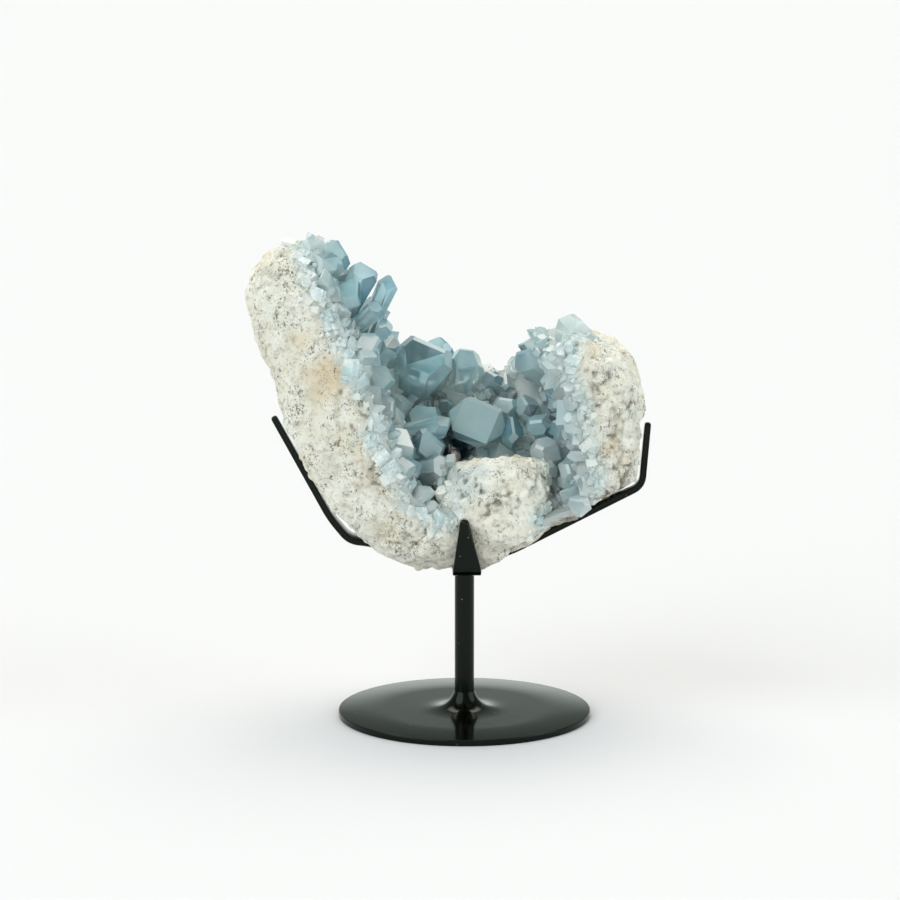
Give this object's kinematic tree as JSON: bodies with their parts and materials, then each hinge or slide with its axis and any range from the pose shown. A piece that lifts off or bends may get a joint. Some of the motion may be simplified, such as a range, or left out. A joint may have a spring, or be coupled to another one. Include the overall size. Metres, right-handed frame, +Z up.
{
  "type": "celestite geode on a stand",
  "caption": "Broken wall of a celestite geode, its open hollow lined with pale blue crystals, held by bent flat arms on a round steel post and foot plate.",
  "frame": {"origin": "centre of the foot plate's underside, where the stand rests on the table", "axes": "+Z up along the post, -Y out of the open front of the geode, +X towards the lower of the two lobes"},
  "size_m": [0.2, 0.127, 0.2432],
  "materials": {
    "black_paint": "gloss",
    "celestite": "polished",
    "chalky_rock": "matte"
  },
  "bodies": {
    "root": {"base_plate": "black_paint", "post": "black_paint", "arm_left": "black_paint", "arm_right": "black_paint", "arm_front": "black_paint", "arm_back": "black_paint", "crystal_crust": "celestite", "geode_matrix": "chalky_rock"}
  },
  "joints": []
}
